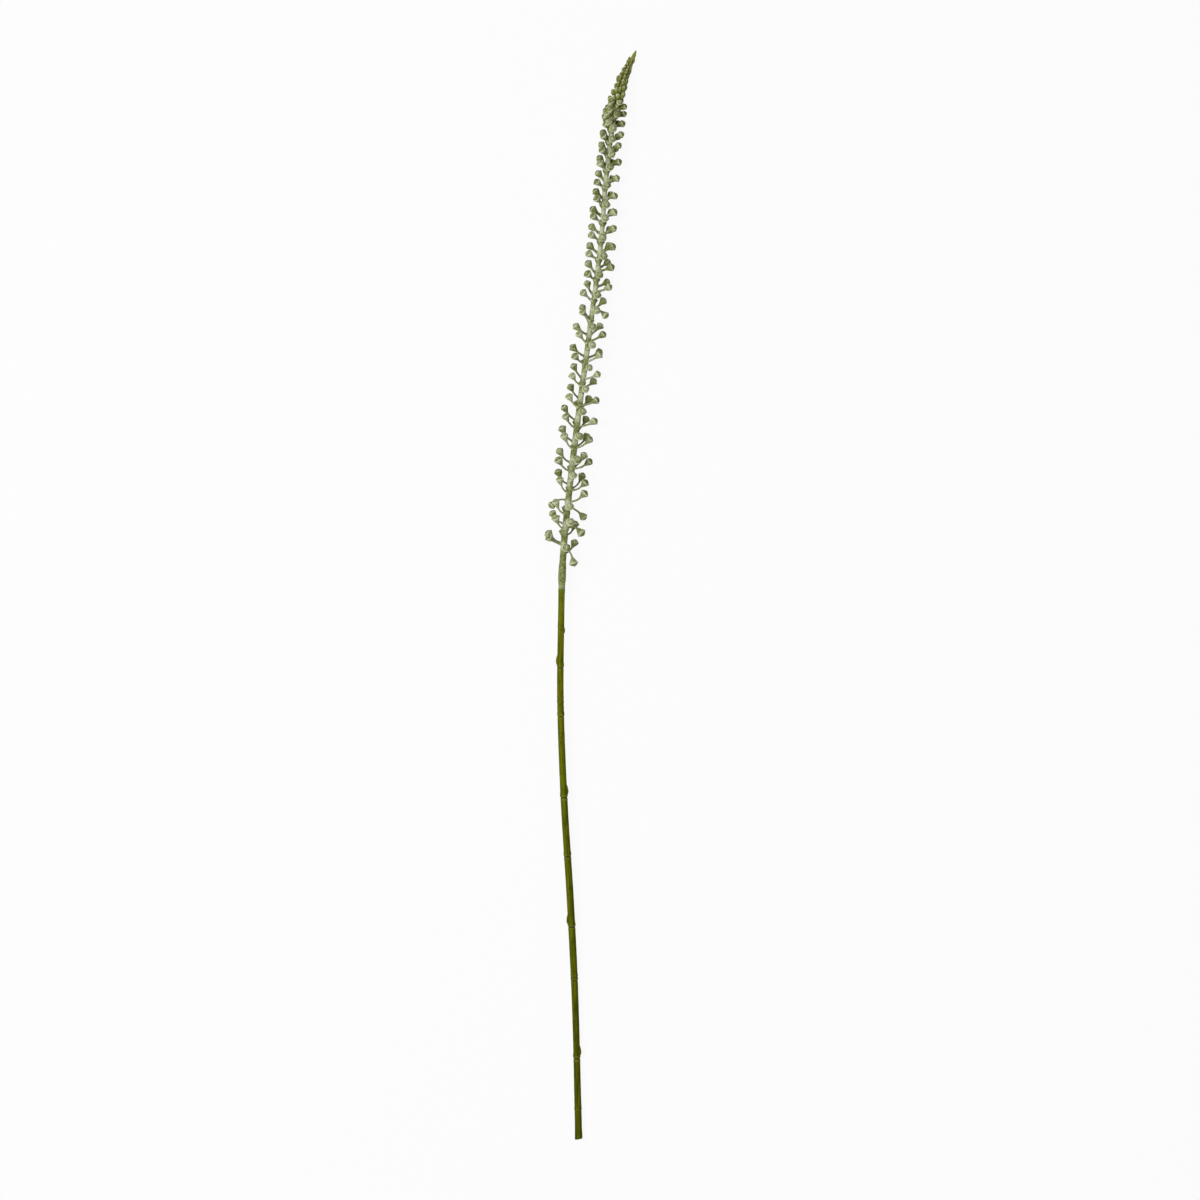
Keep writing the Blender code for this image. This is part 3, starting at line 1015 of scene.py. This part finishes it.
# %% One bud
ROWS = {
    "left_front": (-52, 0.18, 2),
    "right_back": (137, 0.10, -8),
    "front": (12, 0.64, 26),
    "back": (187, 0.70, -10),
    "right_front": (77, 0.30, 3),
    "left_back": (257, 0.55, -6),
}
FILLERS = {"left": (-78, 0.86, -2), "left_inner": (-32, 0.40, 0)}
FILLED_FROM = 22
ROW_SLIDES = {
    "front": (
        (0, 0), (0.2, 0), (0.25, 5.5), (0.42, 5.5), (0.5, -7.0), (0.63, -6.0), (0.69, -9.0), (0.74, -6.0),
        (0.84, -4.0), (0.87, 0),
    ),
    "right_front": (
        (0, 0), (0.47, 0), (0.5, 6.0), (0.56, 6.5), (0.66, 3.5), (0.8, 4.0), (0.85, 3.0), (0.87, 0),
    ),
    "right_back": (
        (0, 0), (0.09, 0), (0.12, 6.0), (0.21, 6.0), (0.245, 0), (0.34, 0), (0.37, 9.0), (0.5, 16.0),
        (0.62, 7.0), (0.7, 4.0), (0.84, 4.0), (0.87, 0),
    ),
}
ROW_TURNS = {
    "right_back": (
        (0, 0), (0.09, 0), (0.12, -12), (0.21, -12), (0.245, 0), (0.34, 0), (0.37, -16), (0.58, -16),
        (0.66, -6), (0.84, 0),
    ),
}
IN_LINE = ((0, 0),)
STRAYS = {
    (0, "left_front"): (12.0, 0, 86, 60),
    (0, "left_back"): (6.0, 0, 84, 48),
    (0, "right_back"): (5.0, 0, 76, 30),
    (0, "front"): (-4.0, 0, 96, 70),
    (0, "right_front"): (7.0, 0, 122, 160),
    (1, "left_front"): (6.0, 6, 84, 40),
    (1, "left_back"): (3.0, -6, 80, 44),
    (1, "right_back"): (3.0, -10, 90, 20),
    (1, "right_front"): (3.0, 0, 20, 130),
    (2, "right_back"): (8.0, -32, 96, 128),
    (2, "right_front"): (10.0, 0, 86, 40),
    (2, "front"): (-6.0, 0, 98, 72),
    (2, "left_back"): (5.0, 26, 72, 136),
    (8, "right_front"): (5.0, 0),
    (11, "right_front"): (10.0, 0, 80, 124),
    (11, "left_back"): (-4.0, 0, 64, 34),
    (12, "left_back"): (-1.0, 0, 60, 26),
}


class Bud:
    """One stalked bud: where its pedicel leaves the axis, how it arches, and the bud's size."""

    def __init__(self, row, whorl, start, pitch, chance):
        degrees, place, lean_out = (ROWS | FILLERS)[row]
        slide, twist, *leans = STRAYS.get((whorl, row), (0.0, 0))
        slide += table_value(ROW_SLIDES.get(row, IN_LINE), spike_share(start))
        twist += table_value(ROW_TURNS.get(row, IN_LINE), spike_share(start))
        distance = start + pitch * (place + chance.uniform(-PLACE_SPREAD, PLACE_SPREAD)) + slide
        self.height, self.share = distance, spike_share(distance)
        share = self.share
        turn = math.radians(degrees + twist + chance.uniform(-TURN_SPREAD, TURN_SPREAD))
        point, self.along, right, up = axis.frame(distance)
        self.out = up * math.cos(turn) + right * math.sin(turn)
        self.side = self.along.cross(self.out)
        self.root = point + self.out * (table_value(AXIS_RADII, share) - ROOT_DEPTH)
        self.pedicel = ROOT_DEPTH + table_value(PEDICEL_LENGTHS, share) * chance.uniform(*PEDICEL_RANGE)
        self.length = table_value(BUD_LENGTHS, share) * chance.uniform(*SIZE_RANGE)
        self.radius = table_value(BUD_RADII, share) * chance.uniform(*SIZE_RANGE)
        self.spin = chance.uniform(0, math.tau)
        lean_out += chance.uniform(-LEAN_SPREAD, LEAN_SPREAD)
        leans = leans or [table_value(table, share) + lean_out for table in (LEANS_AT_ROOT, LEANS_AT_BUD)]
        self.leans = [math.radians(lean) for lean in leans]
        self.tone = math.sin(TONE_TURNS * self.spin)
        # A bud pointing down takes less frost and a darker green: thinner spray, and painted shade as well.
        self.dust = SPRAY_AND_SHADE_BY_FACING * self.out.z + table_value(BUD_DUST, share)
        self.fullness = table_value(BUD_FULLNESS, share)
        while self.lowest() < TABLE_GAP:
            self.leans = [lean * BENT_BACK for lean in self.leans]

    def way(self, share):
        """The pedicel's direction at a share of its length. The bud carries on the last one."""
        lean = self.leans[0] + (self.leans[1] - self.leans[0]) * share
        return self.along * math.cos(lean) + self.out * math.sin(lean)

    def path(self, steps):
        points = [self.root]
        for step in range(steps):
            points.append(points[-1] + self.way((step + 0.5) / steps) * self.pedicel / steps)
        return points

    def lowest(self):
        """The height of the bud's lowest point over the table, from its rim and its dome."""
        end, way = self.path(ARCH_STEPS)[-1], self.way(1)
        slope = math.sqrt(1 - min(1.0, way.z**2))
        return min(
            end.z + self.fullness * (way.z * self.length * along - self.radius * wide * slope)
            for along, wide in BUD_PROFILE
        )

    def face(self):
        """The way that the bud's first lobe faces."""
        return self.side * math.cos(self.spin) + self.side.cross(self.way(1)) * math.sin(self.spin)


chance = random.Random(SEED)
buds = {place: [Bud(row, *place, chance) for row in ROWS] for place in whorls}
for place in whorls[FILLED_FROM:]:
    buds[place] += [Bud(row, *place, chance) for row in FILLERS]
print(sum(map(len, buds.values())), "stalked buds")

# %% [markdown]
# ## The shape of a flower bud
#
# Seen close, a bud is a cup of four fused lobes that holds a blunt dome, as an acorn sits in its cup.
# It widens evenly from its stalk to the rim, seven tenths of the way up, where the lobes make four
# soft corners. The rim catches the frost, and the groove inside it keeps its green, which is painted
# darker there and at the foot, as painted shade. Twelve sides give three to each lobe.

# %% Turn the bud
# The last value of each ring is its frost. Below zero it also paints the green darker, as painted shade.
BUD_RINGS = (
    (0.0, 0.32, 0.0, -0.1),
    (0.20, 0.52, 0.0, -0.2),
    (0.44, 0.82, 0.02, -0.05),
    (0.66, 1.02, 0.06, 0.4),
    (0.74, 1.02, 0.07, 1.0),
    (0.79, 0.82, 0.04, -0.6),
    (0.92, 0.60, 0.02, -0.4),
    (1.05, 0.0, 0.0, 0.1),
)
flower_bud = turned("flower_bud", BUD_RINGS, 12, 4)
print("a flower bud has", len(flower_bud.data.polygons), "faces")

# %% [markdown]
# ## Grow the whorls
#
# Each whorl is its stretch of axis and its stalked buds. A pedicel starts inside the axis, leaves it
# with a wide foot and thins out over three millimetres, and widens a little again under its bud. The
# foot keeps more frost, and the underside of the pedicel hardly any, its olive painted darker as shade.

# %% Grow the whorls
PEDICEL_STEPS = 10
FOOT_RADIUS = 1.9
FOOT_LENGTH = 2.6
COLLAR_LENGTH = 4.0
FOOT_CURVE, COLLAR_CURVE = 1.6, 1.5
MOST_BARE = 0.6
BUD_OVERLAP = 0.2
INSIDE_BUD = 0.3, 0.6
SKIN_RADII = ((0, 3.3), (0.2, 3.1), (0.4, 2.8), (0.5, 2.5), (0.65, 2.4), (0.8, 2.5), (0.88, 2.9), (1, 3.2))
NODE_DUST = ((0, -0.35), (0.1, -0.45), (0.35, -0.1), (0.55, 0.6), (0.72, 0.8), (0.88, 0.1), (1, -0.35))
UPPER_DUST = ((0, 0.0), (0.35, 0.0), (0.7, 0.3), (1, 0.4))
STALK_GIRTHS = ((0, 0.88), (0.3, 0.95), (0.5, 1.15), (0.7, 1.45), (0.85, 1.6), (1, 1.6))


def axis_row(distance, ends):
    climb, share = (distance - ends[0]) / (ends[1] - ends[0]), spike_share(distance)
    dust = table_value(NODE_DUST, climb) + table_value(UPPER_DUST, share)
    return core_row(distance, table_value(SKIN_RADII, share), ends, dust=dust)


def pedicel_rows(bud):
    rows = []
    thickness = table_value(STALK_GIRTHS, bud.share)
    for step, place in enumerate(bud.path(PEDICEL_STEPS)):
        run = bud.pedicel * step / PEDICEL_STEPS
        foot = max(0.0, 1 - run / (FOOT_LENGTH + ROOT_DEPTH)) ** FOOT_CURVE
        collar = max(0.0, 1 - (bud.pedicel - run) / COLLAR_LENGTH) ** COLLAR_CURVE
        girth = thickness + (max(FOOT_RADIUS, thickness) - thickness) * foot
        girth += max(0.0, BUD_RINGS[0][1] * bud.radius - girth) * collar
        bare = MOST_BARE * (1 - foot) * (1 - collar)
        rows.append([place, girth, foot + bud.dust, bare])
    inside = rows[-1][0] + bud.way(1) * bud.length * INSIDE_BUD[0]
    rows.append([inside, INSIDE_BUD[1] * bud.radius, bud.dust, 0.0])
    same = {"tone": bud.tone, "along": bud.height}
    return [
        (placed(place), {"girth": girth * MM, "dust": dust, "bare": bare, **same})
        for place, girth, dust, bare in rows
    ]


def whorl_guide(place):
    number, start, pitch = place
    plan = Guide()
    ends = (start, start + pitch)
    plan.line([axis_row(at, ends) for at in stations(*ends, coarse=0.8)])
    for bud in buds[place]:
        plan.line(pedicel_rows(bud))
        seat = bud.path(PEDICEL_STEPS)[-1] - bud.way(1) * BUD_OVERLAP
        size = Vector((bud.radius, bud.radius, bud.length)) * MM * bud.fullness
        values = {"way": bud.way(1), "face": bud.face(), "size": size, "tone": bud.tone, "dust": bud.dust}
        plan.point(placed(seat), seat=True, along=start, **values)
    return plan


whorl_values = {
    "Axis sides": 20,
    "Twig sides": 8,
    "Bud": flower_bud,
    "Unevenness": 0.0009,
    "Grain": 0.0018,
    "Shelter": 0.005,
    "Finish": powdered_green,
}
whorl_things = [
    whorl_guide(place).grown(f"whorl_{place[0] + 1:02d}", **whorl_values) for place in whorls
]
print(len(whorl_things), "whorls with", sum(map(triangles, whorl_things)), "triangles")

# %% [markdown]
# ## The tip
#
# At the tip the buds are small, packed in eight rows, and have hardly any stalk, so the tree can place
# them all by itself. Each point of the guide is a pair's height on the axis. The tree makes two of it,
# turns each pair by forty-five degrees from the last, leans its buds forwards, the ones on the right
# most, and varies them a little with a seeded random value.

# %% The packing tree
ROW_TURN = math.radians(45)
FIRST_TURN = math.radians(-43)
VARIED_TURN, VARIED_LEAN, VARIED_SIZE = 0.12, 0.06, 0.12
SEAT_DEPTH = 0.9
CORE_SIDES = 18


def packed_buds(graph, given):
    """Two opposite buds on each seat of the guide, each pair turned from the last."""
    seats = graph.node(
        "GeometryNodeSeparateGeometry",
        {"Geometry": given["Geometry"], "Selection": named(graph, "seat", "BOOLEAN")},
        domain="POINT",
    ).of("Selection")
    doubled = graph.node("GeometryNodeDuplicateElements", {"Geometry": seats, "Amount": 2}, domain="POINT")
    index = graph.node("GeometryNodeInputIndex").of("Index")

    def varied(spread, salt):
        return graph.node(
            "FunctionNodeRandomValue",
            {"Min_001": -spread, "Max_001": spread, "ID": index, "Seed": salt},
            data_type="FLOAT",
        ).of("Value_001")

    turn = given["First turn"] + named(graph, "pair") * given["Turn"]
    turn = turn + doubled.of("Duplicate Index") * math.pi + varied(VARIED_TURN, 1)
    along, face = named(graph, "way", "FLOAT_VECTOR"), named(graph, "face", "FLOAT_VECTOR")
    out = graph.node(
        "ShaderNodeVectorRotate", {"Vector": face, "Axis": along, "Angle": turn}, rotation_type="AXIS_ANGLE"
    )
    right = graph.vector("CROSS_PRODUCT", along, face)
    rightward = graph.vector("DOT_PRODUCT", out, right).of("Value")
    lean = named(graph, "lean") + varied(VARIED_LEAN, 2) - given["Spread"] * rightward
    forwards = graph.scaled(along, lean.math("COSINE"))
    way = graph.vector("ADD", forwards, graph.scaled(out, lean.math("SINE")))
    seat = graph.scaled(out, named(graph, "girth") * SEAT_DEPTH)
    points = graph.node("GeometryNodeSetPosition", {"Geometry": doubled, "Offset": seat})
    size = graph.scaled(named(graph, "size", "FLOAT_VECTOR"), 1.0 + varied(VARIED_SIZE, 3))
    return seated(graph, points, given["Bud"], way, out, size)


def packing_tree():
    turns = dict.fromkeys(("First turn", "Turn", "Spread"), "Float")
    graph, given = geometry_tree("packing", {"Bud": "Object", **turns, **SKIN_INPUTS})
    curve = graph.node("GeometryNodeMeshToCurve", {"Mesh": given["Geometry"]})
    # Where buds sit, the core is marked bare, so the finish gives it the pedicels' darker olive and little
    # frost: painted shade in the gaps between the buds.
    core = stored(graph, swept(graph, curve, CORE_SIDES), "bare", named(graph, "gap"))
    return skinned(graph, given, [core, packed_buds(graph, given)])


packing = packing_tree()
print("the packing tree has", len(packing.nodes), "nodes")

# %% [markdown]
# ## Pack the tip
#
# The tip's tables run from the last loose whorl, 0, to the apex, 1. Past the last pair the core is
# left bare, as a smooth point that is fuller than a cone.

# %% Grow the tip
PAIR_PLACES = (0.1, 0.35, 0.6, 0.85)
SMOOTH_APEX = 15.0
TIP_GIRTHS = (
    (0, 2.9), (0.14, 3.9), (0.34, 3.8), (0.52, 3.2), (0.68, 2.6), (0.76, 2.6), (0.82, 2.4), (0.9, 1.9),
    (0.96, 1.2), (1, 0.35),
)
TIP_LEANS = ((0, 40), (0.14, 20), (0.34, 8), (0.52, 5), (0.71, 3), (1, 2))
TIP_BUD_LENGTHS = ((0, 7.4), (0.2, 8.0), (0.34, 8.6), (0.52, 8.0), (0.71, 6.2), (0.82, 4.4), (1, 3.0))
TIP_BUD_RADII = ((0, 2.6), (0.14, 2.3), (0.34, 1.95), (0.52, 1.6), (0.71, 1.2), (0.82, 1.0), (1, 0.7))
TIP_PITCHES = ((0, 7.2), (0.3, 6.0), (0.55, 4.6), (1, 3.8))
TIP_SPREAD = math.radians(9)
CORE_STEP, APEX_STEP = 0.8, 0.4
APEX_START = 1096
# As on the flower bud, a last value below zero paints the green darker at the base, as painted shade.
TIP_BUD_RINGS = (
    (0.0, 0.5, 0.0, -0.4),
    (0.30, 0.88, 0.0, -0.3),
    (0.55, 1.0, 0.02, -0.1),
    (0.76, 0.84, 0.05, 0.3),
    (0.90, 0.50, 0.03, 1.0),
    (1.0, 0.0, 0.0, 0.8),
)
tip_bud = turned("tip_bud", TIP_BUD_RINGS, 9, 3)
tip_from = whorls[-1][1] + whorls[-1][2]


def tip_pairs():
    """The distance of each pair on the tip, four to a pitch."""
    start, heights = tip_from, []
    while start < axis.length - SMOOTH_APEX:
        pitch = table_value(TIP_PITCHES, (start - tip_from) / (axis.length - tip_from))
        heights += [start + pitch * place for place in PAIR_PLACES]
        start += pitch
    return heights


def tip_row(distance, pair=None):
    share = (distance - tip_from) / (axis.length - tip_from)
    radius = table_value(TIP_BUD_RADII, share) * MM
    _, along, _, up = axis.frame(min(distance, axis.length - 1))
    return placed(axis.point(distance)), {
        "girth": table_value(TIP_GIRTHS, share) * MM,
        "lean": math.radians(table_value(TIP_LEANS, share)),
        "size": Vector((radius, radius, table_value(TIP_BUD_LENGTHS, share) * MM)),
        "way": along,
        "face": up,
        "along": distance,
        "pair": float(pair or 0),
        "gap": float(pair is not None),
        "seat": pair is not None,
    }


pairs = tip_pairs()
rows = [tip_row(tip_from)] + [tip_row(at, i) for i, at in enumerate(pairs)]
bare = stations(pairs[-1] + CORE_STEP, axis.length, CORE_STEP, APEX_STEP, lambda at: at > APEX_START)
rows += [tip_row(at) for at in bare]
plan = Guide()
plan.line(rows)
tip_values = {
    "Bud": tip_bud,
    "First turn": FIRST_TURN,
    "Turn": ROW_TURN,
    "Spread": TIP_SPREAD,
    "Unevenness": 0.0006,
    "Grain": 0.0016,
    "Shelter": 0.003,
    "Finish": powdered_tip,
}
tip = plan.grown("tip", packing, **tip_values)
print("the tip has", 2 * len(pairs), "buds and", triangles(tip), "triangles")

# %% [markdown]
# ## Hand the pieces to the frame
#
# The shapes that were set on the stem have done their work and go. Every piece rides on the one body,
# and stands for its solid, which is hidden.

# %% Ride and replace
for shape in (dormant_scale, flower_bud, tip_bud):
    bpy.data.objects.remove(shape)

pieces = {"stalk": internodes, "spike_neck": [neck], "spike_tip": [tip]}
pieces |= {f"bud_whorl_{i + 1:02d}": [thing] for i, thing in enumerate(whorl_things)}
slots = {"stalk": "stalk_olive", "spike_tip": "tip_green"}
for node, things in pieces.items():
    for thing in things:
        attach(thing, "root")
        slots.get(node, "frosted_green")
    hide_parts(node)
print(sum(map(len, pieces.values())), "pieces stand for", len(pieces), "solids")

# %% [markdown]
# ## A pale table and soft light
#
# The stem lies on a pale table under a large soft lamp on its left, with plain light from all round.
# The table looks almost white to the camera, yet still takes the stem's shadow: most of what the
# camera sees of it is its own even brightness, and the rest is lit paint.

# %% Table
TABLE_SIZE = 8.0
TABLE_GLOW = 0.93


def seen_rays(graph):
    """1 for a ray that shows a thing to the camera, straight or by way of a gloss, and 0 for light."""
    path = graph.node("ShaderNodeLightPath")
    seen = path.of("Is Camera Ray").math("MAXIMUM", path.of("Is Glossy Ray"))
    return seen.math("MAXIMUM", path.of("Is Transmission Ray"))


def table_finish():
    material, graph, shader = surface("pale_table")
    graph.feed(shader, {"Base Color": colour(218, 218, 218), "Roughness": 0.9, "Specular IOR Level": 0.1})
    glow = graph.node("ShaderNodeEmission", {"Strength": 1.0})
    paint = Wire(graph, shader, shader.outputs["BSDF"])
    blend = graph.node("ShaderNodeMixShader", {0: seen_rays(graph) * TABLE_GLOW, 1: paint, 2: glow})
    graph.feed(graph.tree.nodes["Material Output"], {"Surface": blend})
    return material


half = TABLE_SIZE / 2
corners = [(-half, -half, 0), (half, -half, 0), (half, half, 0), (-half, half, 0)]
table = drawn("table", corners, [], [(0, 1, 2, 3)], {})
table.data.materials.append(table_finish())
table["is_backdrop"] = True
print("the table is", TABLE_SIZE, "m wide")

# %% Light
WORLD_LEVEL = 0.39
LAMP_PLACE = Vector((-1.6, 0.2, 2.6))
LAMP_SIZE = 1.2, 2.0
LAMP_POWER = 69.0


def lit_world():
    world = bpy.data.worlds.new("soft_room")
    world.use_nodes = True
    graph = Graph(world.node_tree)
    strength = WORLD_LEVEL + seen_rays(graph) * (1 - WORLD_LEVEL)
    graph.feed(graph.tree.nodes["Background"], {"Color": (1, 1, 1, 1), "Strength": strength})
    bpy.context.scene.world = world


lit_world()
light = bpy.data.lights.new("soft_lamp", "AREA")
light.shape, light.energy = "RECTANGLE", LAMP_POWER
light.size, light.size_y = LAMP_SIZE
lamp = standing("soft_lamp", light)
lamp.location = LAMP_PLACE
lamp.rotation_euler = (-LAMP_PLACE).to_track_quat("-Z", "Y").to_euler()
bpy.context.scene.view_settings.view_transform = "Standard"
print("the lamp stands", round(LAMP_PLACE.length, 2), "m away")

# %% [markdown]
# ## The camera
#
# The camera looks straight down on the stem, with the tip at the top, from far enough away that the
# stem isn't drawn out at its ends. A frame of 1.2 metres leaves a little air round it.

# %% Camera
FRAME_WIDTH = 1.2
LENS = 100.0
SENSOR = 36.0
VIEW_SHIFT = Vector((0.0093, -0.0052, 0.0))
VIEW_PLANE = 0.012

low, high = cad_box
middle = (Vector(low) + Vector(high)) / 2 + VIEW_SHIFT
camera = standing("camera", bpy.data.cameras.new("camera"))
camera.data.lens = LENS
camera.data.sensor_width = SENSOR
camera.location = (middle.x, middle.y, VIEW_PLANE + FRAME_WIDTH * LENS / SENSOR)
bpy.context.scene.camera = camera
print("the camera stands", round(camera.location.z, 2), "m up")

# %% [markdown]
# ## The size of the stem
#
# The dressed stem must fill the same box as its solids. Both boxes are printed.

# %% Finish
boxes = {"cad": cad_box, "visual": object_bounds()}
{name: [[float(v) for v in corner] for corner in box] for name, box in boxes.items()}
for name, (low, high) in boxes.items():
    print(name, "low and high in mm:", [[round(v * 1000, 1) for v in corner] for corner in (low, high)])
